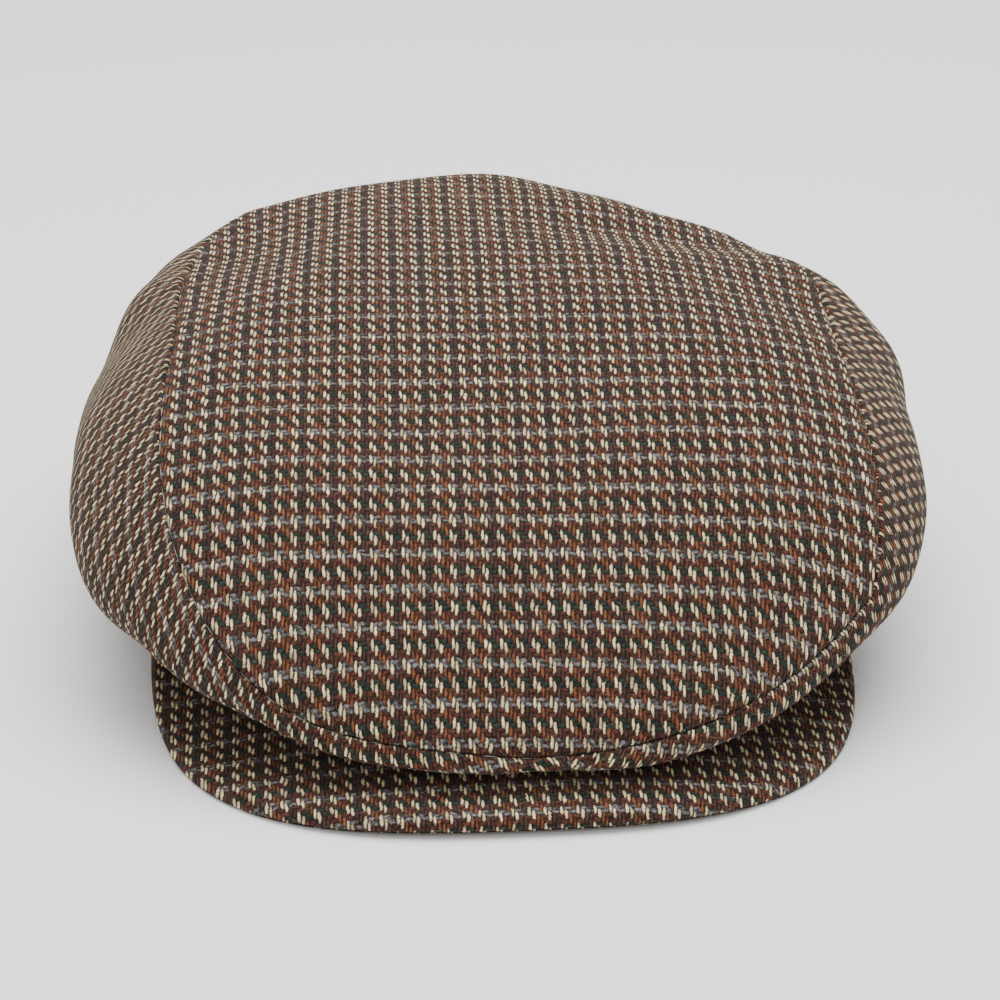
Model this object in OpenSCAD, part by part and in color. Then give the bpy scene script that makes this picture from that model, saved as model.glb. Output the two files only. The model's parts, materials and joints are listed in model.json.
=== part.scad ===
// Flat cap of woven tweed: a large top panel and two side panels drawn forward over a short stiff peak.
// The wearer's face side points to -Y, the cap stands on the plane z = 0.

/* [Head opening] */
// Clear width of the head opening, inside the sweatband
opening_w = 160; // [150:1:170]
// Clear length of the head opening, inside the sweatband
opening_l = 195; // [186:1:205]
// Height of the front of the opening above the back of it, as the cap stands
opening_rise = 16.5; // [14:0.5:17]
// Height of the sweatband
band_h = 24; // [18:1:26]
// Thickness of the sweatband
band_t = 1.0; // [0.8:0.1:1.2]
// Thickness of the stay tape round the sweatband
tape_t = 0.6; // [0.4:0.1:0.7]
// Height of the stay tape
tape_h = 10; // [6:1:14]

/* [Crown] */
// Width of the crown at its widest
crown_w = 236; // [230:1:242]
// Reach of the crown in front of the line where it is widest
crown_front = 117; // [114:1:119]
// Reach of the crown behind the line where it is widest
crown_back = 160; // [150:1:165]
// Height of the crown's highest point
crown_h = 92; // [88:1:97]
// How far behind the middle of the opening the highest point lies
crest_back = 70; // [60:1:76]
// Thickness of the tweed
tweed_t = 1.2; // [0.8:0.1:1.3]
// Thickness of the interlining under the tweed
interlining_t = 1.2; // [0.8:0.1:1.4]
// Thickness of the lining
lining_t = 0.5; // [0.4:0.1:0.8]

/* [Peak] */
// Width of the peak
peak_w = 194; // [188:1:196]
// Reach of the peak in front of the line where it is widest
peak_reach = 98; // [96:1:101]
// Thickness of the covered peak
peak_t = 4.0; // [3.6:0.1:4.2]
// Thickness of the board inside the peak
board_t = 1.5; // [1.2:0.1:1.6]

/* [Fastening and labels] */
// Radius of the press stud's head
stud_r = 1.6; // [1.4:0.1:1.8]
// Radius of the press stud's sewn-on plate
stud_plate_r = 4; // [3.5:0.1:4.2]
// Width of the blank label in the lining
label_w = 60; // [40:1:70]
// Depth of the blank label in the lining
label_l = 34; // [24:1:36]

/* [Hidden] */

tweed_colour = [0.42, 0.33, 0.26];
side_colour = [0.47, 0.38, 0.31];
peak_colour = [0.38, 0.29, 0.23];
interlining_colour = [0.86, 0.85, 0.80];
lining_colour = [0.30, 0.20, 0.16];
band_colour = [0.13, 0.11, 0.10];
tape_colour = [0.78, 0.74, 0.66];
board_colour = [0.82, 0.80, 0.74];
label_colour = [0.88, 0.84, 0.74];
metal_colour = [0.72, 0.70, 0.66];

// The opening: an oval in a plane that falls from its front to its back
slip = 0.1;
board_slip = 0.2;
seam_gap = 0.7;
swing_gap = 4.5;
panel_lift = 0.6;
front_lift = 2.5;
band_rx = opening_w / 2 + band_t;
band_ry = opening_l / 2 + band_t;
tape_rx = band_rx + slip + tape_t;
tape_ry = band_ry + slip + tape_t;
seam_rx = tape_rx + seam_gap;
seam_ry = tape_ry + seam_gap;
opening_slope = opening_rise / (2 * seam_ry);
opening_tilt = atan(opening_slope);
oval_steps = 72;
function opening_z(y) = opening_rise / 2 - opening_slope * y;

// The crown's outline from above, and how its section changes from front to side to back
widest_y = -32.5;
outline_power = 2.34;
widest_z = [13.5, 49, 50];
top_power = [2.85, 2.72, 2.92];
top_edge = [0.81, 0.47, 0.59];
seam_share = [0.982, 0.787, 0.877];
seam_shoulder = 0.089;
round_handle = 0.5523;
lip_drop = 9;
tuck_handle = 0.48;
tuck_sag = -3.5;

// The insets of each layer's two faces below the tweed's outer face
interlining_in = tweed_t + 0.2;
lining_in = interlining_in + interlining_t + 1.4;

// The peak's outer edge
peak_widest_y = -59;
peak_power = 2.7;
peak_tail = 40;
peak_end = 128;
peak_rise = 0.2;
peak_arch = 12.5;
peak_foot = 1.3;
peak_drop = 0.2;
peak_steps = 44;
peak_front_y = peak_widest_y - peak_reach;

// The frame's origin is the middle of the bounding box's bottom
shift_y = -(peak_front_y + widest_y + crown_back) / 2;

round_steps = 48;
top_steps = 12;
side_steps = 3;
under_steps = 8;

// A value that is given for the front, the sides and the back, at an angle round the crown
function around(phi, v) =
    v[1] + (v[0] - v[1]) * pow(max(0, -sin(phi)), 2) + (v[2] - v[1]) * pow(max(0, sin(phi)), 2);

function signed_pow(v, power) = sign(v) * pow(abs(v), power);

// The widest line of the crown, drawn in by an inset
function outline_xy(phi, inset) =
    let (e = 2 / outline_power, reach = sin(phi) < 0 ? crown_front : crown_back)
    [(crown_w / 2 - inset) * signed_pow(cos(phi), e),
     widest_y + (reach - inset) * signed_pow(sin(phi), e)];

// The crown's lower edge, just outside the stay tape
function rim_point(phi, inset) =
    let (front = pow(max(0, -sin(phi)), 2),
         ry = sin(phi) < 0 ? seam_ry + swing_gap : seam_ry,
         y = ry * sin(phi))
    [seam_rx * cos(phi), y, opening_z(y) + panel_lift + front_lift * front + inset];

// The upper face: from the crest (share 0) to the widest line (share 1)
function upper_point(phi, share, inset) =
    let (edge = outline_xy(phi, inset), z = around(phi, widest_z),
         curve = pow(1 - pow(share, around(phi, top_power)), around(phi, top_edge)))
    [share * edge[0],
     crest_back + share * (edge[1] - crest_back),
     z + (crown_h - inset - z) * curve];

// The under face: one cubic curve from the widest line (t 0) in to the opening (t 1)
function lower_point(phi, t, inset) =
    let (edge = outline_xy(phi, inset), rim = rim_point(phi, inset), z = around(phi, widest_z),
         front = pow(max(0, -sin(phi)), 2),
         belly = round_handle * (z - rim[2]),
         drop = belly + (lip_drop - inset - belly) * front,
         handle = round_handle + (tuck_handle - round_handle) * front,
         b0 = pow(1 - t, 3), b1 = 3 * t * pow(1 - t, 2), b2 = 3 * t * t * (1 - t), b3 = t * t * t)
    [(b0 + b1) * edge[0] + b2 * (rim[0] + handle * (edge[0] - rim[0])) + b3 * rim[0],
     (b0 + b1) * edge[1] + b2 * (rim[1] + handle * (edge[1] - rim[1])) + b3 * rim[1],
     b0 * z + b1 * (z - drop) + b2 * (rim[2] + tuck_sag * front) + b3 * rim[2]];

// Where the seam between the top and the side panels lies on the upper face
function seam_at(phi) =
    min(seam_share[0],
        around(phi, seam_share) + (sin(phi) < 0 ? seam_shoulder * pow(sin(2 * phi), 2) : 0));

function top_column(phi, inset) =
    [for (j = [1:top_steps]) upper_point(phi, seam_at(phi) * (1 - pow(1 - j / top_steps, 1.5)), inset)];

function side_column(phi, inset) =
    let (seam = seam_at(phi))
    concat([for (j = [0:side_steps - 1])
                upper_point(phi, 1 - (1 - seam) * pow(1 - j / side_steps, 2), inset)],
           [for (j = [0:under_steps]) lower_point(phi, j / under_steps, inset)]);

function strip_faces(a, m, n, closed, flip) =
    [for (i = [0:(closed ? n - 1 : n - 2)], j = [0:m - 2])
        let (p = a + i * m + j, q = a + ((i + 1) % n) * m + j)
        each (flip ? [[p, q + 1, q], [p, p + 1, q + 1]] : [[p, q, q + 1], [p, q + 1, p + 1]])];

// The wall that joins two faces along their last row, or along their first
function edge_faces(a, b, m, n, closed, flip) =
    [for (i = [0:(closed ? n - 1 : n - 2)])
        let (k = (i + 1) % n, p = a + i * m, q = a + k * m, r = b + i * m, s = b + k * m)
        each (flip ? [[p, r, s], [p, s, q]] : [[p, s, r], [p, q, s]])];

function end_faces(a, b, m, flip) =
    [for (j = [0:m - 2])
        each (flip ? [[a + j, a + j + 1, b + j + 1], [a + j, b + j + 1, b + j]]
                   : [[a + j, b + j + 1, a + j + 1], [a + j, b + j, b + j + 1]])];

// A sheet between two grids of points, open at its two ends
module open_sheet(outer, inner) {
    n = len(outer);
    m = len(outer[0]);
    back = n * m;
    polyhedron(
        points = concat([for (c = outer) each c], [for (c = inner) each c]),
        faces = concat(strip_faces(0, m, n, false, false),
                       strip_faces(back, m, n, false, true),
                       edge_faces(0, back, m, n, false, true),
                       edge_faces(m - 1, back + m - 1, m, n, false, false),
                       end_faces(0, back, m, true),
                       end_faces((n - 1) * m, back + (n - 1) * m, m, false)));
}

// A sheet between two grids that run all the way round a crest
module crest_sheet(outer, inner, outer_crest, inner_crest) {
    n = len(outer);
    m = len(outer[0]);
    back = n * m;
    top = 2 * back;
    polyhedron(
        points = concat([for (c = outer) each c], [for (c = inner) each c], [outer_crest, inner_crest]),
        faces = concat(strip_faces(0, m, n, true, false),
                       strip_faces(back, m, n, true, true),
                       edge_faces(m - 1, back + m - 1, m, n, true, false),
                       [for (i = [0:n - 1]) [top, ((i + 1) % n) * m, i * m]],
                       [for (i = [0:n - 1]) [top + 1, back + i * m, back + ((i + 1) % n) * m]]));
}

module place() {
    translate([0, shift_y, 0]) children();
}

module top_layer(inset, thickness) {
    angles = [for (i = [0:round_steps - 1]) -90 + i * 360 / round_steps];
    crest_sheet([for (phi = angles) top_column(phi, inset)],
                [for (phi = angles) top_column(phi, inset + thickness)],
                [0, crest_back, crown_h - inset],
                [0, crest_back, crown_h - inset - thickness]);
}

module side_layer(inset, thickness) {
    angles = [for (i = [0:round_steps / 2]) -90 + i * 360 / round_steps];
    open_sheet([for (phi = angles) side_column(phi, inset)],
               [for (phi = angles) side_column(phi, inset + thickness)]);
}

// The peak's outer edge at an angle from its front, at half its thickness
function peak_edge(a) =
    let (e = 2 / peak_power,
         x = peak_w / 2 * signed_pow(sin(a), e),
         y = peak_widest_y - (cos(a) > 0 ? peak_reach : peak_tail) * signed_pow(cos(a), e),
         arch = cos(a) > 0 ? pow(abs(2 * x / peak_w), 3) : 1)
    [x, y, peak_foot + peak_t / 2 + peak_rise * (min(y, peak_widest_y) - peak_front_y) - peak_arch * arch];

// The seam where the peak meets the opening, in line with the same point of the outer edge
function peak_seam(a) =
    let (edge = peak_edge(a), turn = atan2(edge[1], edge[0]),
         r = 1 / sqrt(pow(cos(turn) / seam_rx, 2) + pow(sin(turn) / seam_ry, 2)),
         y = r * sin(turn))
    [r * cos(turn), y, opening_z(y) - peak_t / 2 - peak_drop];

// A point of the peak: back millimetres in from the outer edge, and up from the middle of its thickness
function peak_point(a, back, up) =
    let (edge = peak_edge(a), seam = peak_seam(a),
         reach = norm([edge[0] - seam[0], edge[1] - seam[1]]),
         share = 1 - min(back / reach, 1),
         tail = pow(max(0, (abs(a) - 90) / (peak_end - 90)), 2),
         edge_z = edge[2] + (seam[2] - edge[2]) * tail)
    [seam[0] + share * (edge[0] - seam[0]),
     seam[1] + share * (edge[1] - seam[1]),
     seam[2] + share * (edge_z - seam[2]) + up];

function peak_reach_at(a) =
    let (edge = peak_edge(a), seam = peak_seam(a)) norm([edge[0] - seam[0], edge[1] - seam[1]]);

// One row of a cover's outer face, from the seam out to the middle of the rolled edge
function cover_column(a, side) =
    let (r = peak_reach_at(a), h = peak_t / 2)
    [for (p = [[r, 1], [0.66 * r, 1], [0.33 * r, 1], [min(2, 0.3 * r), 1], [min(0.6, 0.12 * r), 0.7], [0, 0.01]])
        peak_point(a, p[0], side * h * p[1])];

// The same row of its inner face, which lies on the board
function cover_inside(a, side) =
    let (r = peak_reach_at(a), h = board_t / 2 + board_slip)
    [for (p = [[r, 1], [0.66 * r, 1], [0.33 * r, 1], [min(2.6, 0.4 * r), 1], [min(1.9, 0.3 * r), 0.5],
               [min(1.5, 0.2 * r), 0.02]])
        peak_point(a, p[0], side * h * p[1])];

module peak_cover(side) {
    angles = [for (i = [0:peak_steps]) peak_end * (2 * i / peak_steps - 1)];
    open_sheet([for (a = angles) cover_column(a, side)],
               [for (a = angles) cover_inside(a, side)]);
}

// An oval band that stands on the opening's plane
module oval_band(rx, ry, thickness, height, base) {
    outer = [for (i = [0:oval_steps - 1]) [rx * cos(i * 360 / oval_steps), ry * sin(i * 360 / oval_steps)]];
    inner = [for (i = [0:oval_steps - 1]) [(rx - thickness) * cos(i * 360 / oval_steps),
                                           (ry - thickness) * sin(i * 360 / oval_steps)]];
    translate([0, 0, opening_rise / 2])
        rotate([-opening_tilt, 0, 0])
            translate([0, 0, base])
                linear_extrude(height)
                    difference() {
                        polygon(outer);
                        polygon(inner);
                    }
}

// The press stud stands square to the peak's slope, under the crown's lip
snap_y = -134;
snap_slope = atan(peak_rise);
snap_share = (snap_y + seam_ry) / (peak_front_y + seam_ry);
snap_z = peak_t / 2 + peak_seam(0)[2] + snap_share * (peak_edge(0)[2] - peak_seam(0)[2]);
stud_plate_t = 0.7;
stud_h = 1.5;
socket_lift = 1;
socket_t = 1.2;
socket_bore = 0.95;
socket_clear = 0.4;

module on_peak() {
    place() translate([0, snap_y, snap_z + slip]) rotate([snap_slope, 0, 0]) children();
}

// Each piece of the crown

module top_panel() {
    color(tweed_colour) place() top_layer(0, tweed_t);
}

module side_panel_right() {
    color(side_colour) place() side_layer(0, tweed_t);
}

module side_panel_left() {
    color(side_colour) mirror([1, 0, 0]) place() side_layer(0, tweed_t);
}

module top_interlining() {
    color(interlining_colour) place() top_layer(interlining_in, interlining_t);
}

module side_interlining_right() {
    color(interlining_colour) place() side_layer(interlining_in, interlining_t);
}

module side_interlining_left() {
    color(interlining_colour) mirror([1, 0, 0]) place() side_layer(interlining_in, interlining_t);
}

module top_lining() {
    color(lining_colour) place() top_layer(lining_in, lining_t);
}

module side_lining_right() {
    color(lining_colour) place() side_layer(lining_in, lining_t);
}

module side_lining_left() {
    color(lining_colour) mirror([1, 0, 0]) place() side_layer(lining_in, lining_t);
}

label_t = 0.5;
label_y = 40;
label_front = (crest_back - label_y + label_l / 2) / (crest_back - widest_y + crown_front);
label_z = upper_point(-90, label_front, lining_in + lining_t)[2] - label_t - 0.5;

module blank_label() {
    color(label_colour)
        place()
            translate([-label_w / 2, label_y - label_l / 2, label_z])
                cube([label_w, label_l, label_t]);
}

module snap_socket() {
    color(metal_colour)
        on_peak()
            difference() {
                translate([0, 0, socket_lift]) cylinder(r = stud_plate_r, h = socket_t, $fn = 48);
                translate([0, 0, socket_lift - 1])
                    cylinder(r = stud_r + socket_clear, h = socket_bore + 1, $fn = 48);
            }
}

// Each piece of the peak and the opening

module peak_board() {
    start = 4;
    edge = 3.2;
    last = 100;
    angles = [for (i = [0:peak_steps]) let (a = peak_end * (2 * i / peak_steps - 1)) if (abs(a) < last) a];
    color(board_colour)
        place()
            open_sheet([for (a = angles) [for (p = [1, 0.66, 0.33, 0])
                            peak_point(a, edge + p * (peak_reach_at(a) - start - edge), board_t / 2)]],
                       [for (a = angles) [for (p = [1, 0.66, 0.33, 0])
                            peak_point(a, edge + p * (peak_reach_at(a) - start - edge), -board_t / 2)]]);
}

module peak_top_cover() {
    color(peak_colour) place() peak_cover(1);
}

module peak_under_cover() {
    color(peak_colour) place() mirror([1, 0, 0]) peak_cover(-1);
}

module sweatband() {
    color(band_colour) place() oval_band(band_rx, band_ry, band_t, band_h, 0);
}

module stay_tape() {
    color(tape_colour) place() oval_band(tape_rx, tape_ry, tape_t, tape_h, 1);
}

tab_w = 20;
tab_h = 12;
tab_t = 0.4;

module size_tab() {
    color(label_colour)
        place()
            translate([-tab_w / 2, opening_l / 2 - 2, opening_z(opening_l / 2) + 5])
                cube([tab_w, tab_t, tab_h]);
}

module snap_stud() {
    color(metal_colour)
        on_peak() {
            cylinder(r = stud_plate_r, h = stud_plate_t, $fn = 48);
            cylinder(r = stud_r, h = stud_h, $fn = 48);
        }
}

top_panel();
side_panel_left();
side_panel_right();
top_interlining();
side_interlining_left();
side_interlining_right();
top_lining();
side_lining_left();
side_lining_right();
blank_label();
snap_socket();
peak_board();
peak_top_cover();
peak_under_cover();
sweatband();
stay_tape();
size_tab();
snap_stud();
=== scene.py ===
import json
import math
import bpy
import numpy as np
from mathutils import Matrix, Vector


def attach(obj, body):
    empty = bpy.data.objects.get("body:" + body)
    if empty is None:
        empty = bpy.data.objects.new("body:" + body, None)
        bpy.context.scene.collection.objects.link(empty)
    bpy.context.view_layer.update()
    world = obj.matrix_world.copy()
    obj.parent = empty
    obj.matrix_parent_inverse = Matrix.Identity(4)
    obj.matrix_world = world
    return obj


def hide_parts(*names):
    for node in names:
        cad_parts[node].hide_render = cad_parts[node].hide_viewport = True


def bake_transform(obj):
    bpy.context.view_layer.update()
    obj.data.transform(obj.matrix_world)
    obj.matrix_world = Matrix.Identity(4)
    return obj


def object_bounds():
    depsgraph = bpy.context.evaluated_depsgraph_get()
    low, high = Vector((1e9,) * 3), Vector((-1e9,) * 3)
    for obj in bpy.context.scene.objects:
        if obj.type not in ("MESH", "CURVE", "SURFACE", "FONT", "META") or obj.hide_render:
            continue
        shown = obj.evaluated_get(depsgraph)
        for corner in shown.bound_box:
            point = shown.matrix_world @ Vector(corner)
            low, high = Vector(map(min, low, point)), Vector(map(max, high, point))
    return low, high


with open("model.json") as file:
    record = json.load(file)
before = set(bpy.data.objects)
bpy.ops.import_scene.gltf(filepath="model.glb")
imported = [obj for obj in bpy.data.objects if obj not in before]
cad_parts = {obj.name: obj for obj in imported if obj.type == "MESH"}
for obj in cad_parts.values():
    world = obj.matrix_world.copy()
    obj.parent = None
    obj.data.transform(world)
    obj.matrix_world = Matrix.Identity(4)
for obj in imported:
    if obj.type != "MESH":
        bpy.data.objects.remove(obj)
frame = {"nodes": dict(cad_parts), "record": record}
cadLow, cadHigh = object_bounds()

# Lengths below are millimetres from the middle of the head opening; z is up from the surface the cap stands on
millimetre = 0.001
openingMount = next(m for m in frame["record"]["mounts"] if m["name"] == "head_opening")
openingMiddle = np.array(openingMount["pos_m"])


def inFrame(points):
    # millimetres from the opening's middle, turned into metres in the shared frame
    return points * millimetre + np.array([0.0, openingMiddle[1], 0.0])


# The crown's shape

crownShape = {
    "halfWidth": 118.0,
    "reachFront": 117.0,
    "reachBack": 160.0,
    "widestY": -32.5,
    "outlinePower": 2.34,
    "crestBack": 70.0,
    "crestHeight": 92.0,
    "widestHeight": (13.5, 49.0, 50.0),  # front, sides, back
    "topPower": (2.85, 2.72, 2.92),
    "topEdge": (0.81, 0.47, 0.59),
    "seamShare": (0.991, 0.787, 0.877),
    "seamShoulder": 0.089,
    "seamLean": 0.045,  # the top panel sits this much further to the right
    "frontSplit": 3.5,  # degrees that the front seam between the side panels lies to the right
    "rimX": 82.4,
    "rimFront": 104.4,
    "rimBack": 99.9,
    "openingRise": 16.5,
    "rimLift": (0.6, 2.5),  # all round, and added at the front
    "lipDrop": 9.0,  # how far the cloth hangs below its widest line at the front
    "lipHandle": 0.48,  # how softly the lip comes back to the rim
    "lipDepth": 3.5,
    "lipInset": 2.0,  # layers set in this far have no lip of their own
}
circleHandle = 0.5523  # the handle that bends a cubic curve into a quarter circle

# Soft hollows and swellings of the cloth: place (x, y, z), spread (x, y, z), height
clothForm = np.array([
    [-72, 50, 84, 30, 36, 40, -4.0],
    [-38, 20, 92, 22, 40, 40, 1.5],
    [58, 46, 84, 40, 15, 40, -4.5],
    [75, -5, 78, 24, 26, 30, -1.5],
    [100, 20, 60, 22, 26, 26, 2.5],
    [-108, -30, 50, 26, 24, 22, 1.5],
    [-96, 40, 62, 22, 24, 26, -3.0],
    [30, -20, 88, 46, 16, 40, 0.8],
    [-20, -60, 74, 50, 12, 40, -0.7],
    [10, -96, 56, 60, 14, 30, 0.8],
    [-52, 90, 83, 18, 18, 18, 1.0],
    [-70, 82, 77, 18, 18, 18, 4.3],
    [-86, 60, 73, 18, 18, 18, 5.6],
    [-96, 34, 71, 18, 18, 18, 7.7],
    [-108, 15, 65, 18, 18, 18, -2.5],
    [-117, -15, 58, 18, 18, 18, -2.4],
    [-119, -40, 49, 18, 18, 18, -2.7],
    [-105, -86, 33, 18, 18, 18, 1.7],
    [-96, -106, 30, 18, 18, 18, -1.3],
    [10, 96, 89, 18, 18, 18, 0.6],
    [36, 92, 87, 18, 18, 18, -2.5],
    [62, 81, 83, 18, 18, 18, -2.8],
    [80, 68, 78, 18, 18, 18, 0.5],
    [92, 42, 76, 18, 18, 18, 3.2],
    [105, 20, 72, 18, 18, 18, 3.9],
    [114, -5, 63, 18, 18, 18, 5.1],
    [116, -40, 57, 18, 18, 18, 1.2],
    [114, -70, 47, 18, 18, 18, 1.4],
    [103, -96, 34, 18, 18, 18, 1.5],
    [-106, 36, 68, 16, 16, 16, -2.2],
    [-64, -134, 19, 22, 22, 18, -2.2],
    [-25, -146, 12, 22, 18, 16, -2.4],
    [8, -148, 11, 18, 18, 16, -1.8],
])


def signedPower(value, power):
    return np.sign(value) * np.abs(value) ** power


def aroundCrown(angle, values):
    # front, side and back value, shared out by the squared sine of the angle
    front, side, back = values
    s = np.sin(angle)
    return side + (front - side) * np.maximum(0, -s) ** 2 + (back - side) * np.maximum(0, s) ** 2


def frontShare(angle):
    return np.maximum(0, -np.sin(angle)) ** 2


def widestLine(angle, inset):
    # superellipse: x and y are the half sizes times cosine and sine to the power 2 / outlinePower
    c = crownShape
    power = 2 / c["outlinePower"]
    reach = np.where(np.sin(angle) < 0, c["reachFront"], c["reachBack"])
    return ((c["halfWidth"] - inset) * signedPower(np.cos(angle), power),
            c["widestY"] + (reach - inset) * signedPower(np.sin(angle), power))


def upperFace(angle, share, inset=0.0):
    # plan: a straight run from the crest (share 0) to the widest line (share 1)
    # height: widest height plus the rest times (1 - share to topPower) to topEdge
    c = crownShape
    edgeX, edgeY = widestLine(angle, inset)
    low = aroundCrown(angle, c["widestHeight"])
    curve = np.clip(1 - share ** aroundCrown(angle, c["topPower"]), 0, 1)
    curve = curve ** aroundCrown(angle, c["topEdge"])
    return np.stack([share * edgeX, c["crestBack"] + share * (edgeY - c["crestBack"]),
                     low + (c["crestHeight"] - inset - low) * curve], -1)


def underFace(angle, t, inset=0.0):
    # one cubic curve from the widest line (t 0) in to the opening's rim (t 1)
    c = crownShape
    edgeX, edgeY = widestLine(angle, inset)
    front = frontShare(angle)
    rimX = c["rimX"] * np.cos(angle)
    rimY = np.where(np.sin(angle) < 0, c["rimFront"], c["rimBack"]) * np.sin(angle)
    rimZ = c["openingRise"] / 2 * (1 - rimY / c["rimBack"]) + c["rimLift"][0] + c["rimLift"][1] * front + inset
    low = aroundCrown(angle, c["widestHeight"])
    belly = circleHandle * (low - rimZ)
    drop = belly + (c["lipDrop"] - inset - belly) * front
    handle = circleHandle + (c["lipHandle"] - circleHandle) * front
    lip = c["lipDepth"] * front * max(0.0, 1 - inset / c["lipInset"])
    b0, b1, b2, b3 = (1 - t) ** 3, 3 * t * (1 - t) ** 2, 3 * t * t * (1 - t), t ** 3
    return np.stack([(b0 + b1) * edgeX + b2 * (rimX + handle * (edgeX - rimX)) + b3 * rimX,
                     (b0 + b1) * edgeY + b2 * (rimY + handle * (edgeY - rimY)) + b3 * rimY,
                     b0 * low + b1 * (low - drop) + b2 * (rimZ - lip) + b3 * rimZ], -1)


def seamShareAt(angle):
    # where the top panel's seam lies, as a share of the way from the crest to the widest line
    c = crownShape
    shoulder = np.where(np.sin(angle) < 0, c["seamShoulder"] * np.sin(2 * angle) ** 2, 0)
    plain = aroundCrown(angle, c["seamShare"]) + shoulder + c["seamLean"] * np.cos(angle)
    return np.minimum(plain, c["seamShare"][0])


def evenRows(points, fractions):
    # each column is measured along its length and cut again at the given fractions of it
    # (each column's shares are lifted by 2 over the last one's, so one interpolation does them all)
    step = np.linalg.norm(np.diff(points, axis=1), axis=2)
    run = np.concatenate([np.zeros((len(points), 1)), np.cumsum(step, axis=1)], axis=1)
    share = run / run[:, -1:]
    lift = 2.0 * np.arange(len(points))[:, None]
    known, wanted = (share + lift).ravel(), (fractions[None, :] + lift).ravel()
    return np.stack([np.interp(wanted, known, points[..., k].ravel()).reshape(len(points), -1)
                     for k in range(3)], -1)


def lengthAlong(points, axis):
    # running length along one direction of a grid, starting at 0
    step = np.linalg.norm(np.diff(points, axis=axis), axis=2)
    start = np.zeros_like(np.take(step, [0], axis=axis))
    return np.concatenate([start, np.cumsum(step, axis=axis)], axis=axis)


def gridNormals(points, closed):
    # the cross product of the slope along the rows and the slope round the crown
    if closed:
        around = np.roll(points, -1, axis=0) - np.roll(points, 1, axis=0)
    else:
        around = np.gradient(points, axis=0)
    down = np.gradient(points, axis=1)
    normal = np.cross(down, around)
    size = np.linalg.norm(normal, axis=2, keepdims=True)
    return np.where(size > 1e-9, normal / np.maximum(size, 1e-9), np.array([0.0, 0.0, 1.0]))


def softForm(points):
    # sum of rounded swellings, each height times e to the minus squared distance
    total = np.zeros(points.shape[:-1])
    for x, y, z, spreadX, spreadY, spreadZ, height in clothForm:
        far = (((points[..., 0] - x) / spreadX) ** 2 + ((points[..., 1] - y) / spreadY) ** 2
               + ((points[..., 2] - z) / spreadZ) ** 2)
        total += height * np.exp(-far)
    return total


def clothRipple(points, size):
    # a few crossing sine waves of different length, so no two places are alike
    x, y, z = points[..., 0], points[..., 1], points[..., 2]
    return size * (0.42 * np.sin(x / 13.0 + 1.3 * np.sin(y / 29.0)) * np.sin(y / 17.0 + 0.7)
                   + 0.34 * np.sin((x + 1.4 * y) / 21.0 + z / 17.0)
                   + 0.24 * np.sin((1.7 * x - y + z) / 11.0 + 2.1))


seamLook = {"turned": 0.98, "swellAt": 4.5, "swellWidth": 3.0, "puckerReach": 6.0, "wander": 1.5,
            "wanderLength": 23.0}


def seamEdge(distance, along, roll, swell, pucker, pitch):
    # the cloth turns down in a quarter circle at the seam, swells a little beside it and puckers along it
    k = seamLook
    near = np.clip(1 - distance / roll, 0, 1)
    turned = -roll * (1 - np.sqrt(1 - near ** 2 * k["turned"]))
    wave = np.sin(2 * np.pi * along / pitch + k["wander"] * np.sin(along / k["wanderLength"]))
    return (turned + swell * np.exp(-((distance - k["swellAt"]) / k["swellWidth"]) ** 2)
            + pucker * wave * np.exp(-distance / k["puckerReach"]))


def buildMesh(name, vertices, loops, sizes, places=None):
    # one piece from whole arrays: vertices, face corners, corners per face and, where given, the thread map
    mesh = bpy.data.meshes.new(name)
    mesh.vertices.add(len(vertices))
    mesh.vertices.foreach_set("co", inFrame(vertices).astype(np.float32).ravel())
    mesh.loops.add(len(loops))
    mesh.loops.foreach_set("vertex_index", loops.astype(np.int32))
    mesh.polygons.add(len(sizes))
    mesh.polygons.foreach_set("loop_start", np.concatenate([[0], np.cumsum(sizes)[:-1]]).astype(np.int32))
    mesh.update(calc_edges=True)
    if places is not None:
        cloth = mesh.uv_layers.new(name="clothUv")
        cloth.data.foreach_set("uv", (places[loops] * millimetre).astype(np.float32).ravel())
        mesh.polygons.foreach_set("use_smooth", np.ones(len(sizes), dtype=bool))
    mesh.validate()
    piece = bpy.data.objects.new(name, mesh)
    bpy.context.scene.collection.objects.link(piece)
    return piece


def gridMesh(name, points, uv, closed, crest=None, crestUv=None):
    # a grid of columns round the crown and rows outwards; a crest point closes the middle
    n, m = points.shape[:2]
    vertices = points.reshape(-1, 3)
    places = uv.reshape(-1, 2)
    i = np.arange(n if closed else n - 1)[:, None]
    j = np.arange(m - 1)[None, :]
    k = (i + 1) % n
    quads = np.stack([i * m + j, i * m + j + 1, k * m + j + 1, k * m + j], -1).reshape(-1, 4)
    loops = quads.ravel()
    sizes = np.full(len(quads), 4)
    if crest is not None:
        vertices = np.concatenate([vertices, crest[None]])
        places = np.concatenate([places, crestUv[None]])
        fan = np.stack([np.full(n, n * m), np.arange(n) * m, (np.arange(n) + 1) % n * m], -1)
        loops = np.concatenate([loops, fan.ravel()])
        sizes = np.concatenate([sizes, np.full(n, 3)])
    return buildMesh(name, vertices, loops, sizes, places)


def thicken(piece, thickness):
    # the wall goes inwards from the modelled face; the clamp keeps its inner face from folding in tight bends
    wall = piece.modifiers.new("wall", "SOLIDIFY")
    wall.thickness = thickness * millimetre
    wall.offset = -1
    wall.use_even_offset = False
    wall.thickness_clamp = 1.5
    return piece


# Where the cloth's threads run

def planAngles():
    # a table that turns a direction seen from above into the crown's own angle
    angle = np.radians(np.linspace(-180, 180, 1441))
    edgeX, edgeY = widestLine(angle, 0.0)
    turn = np.unwrap(np.arctan2(edgeY - crownShape["crestBack"], edgeX))
    return turn, angle


turnTable, angleTable = planAngles()


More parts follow.
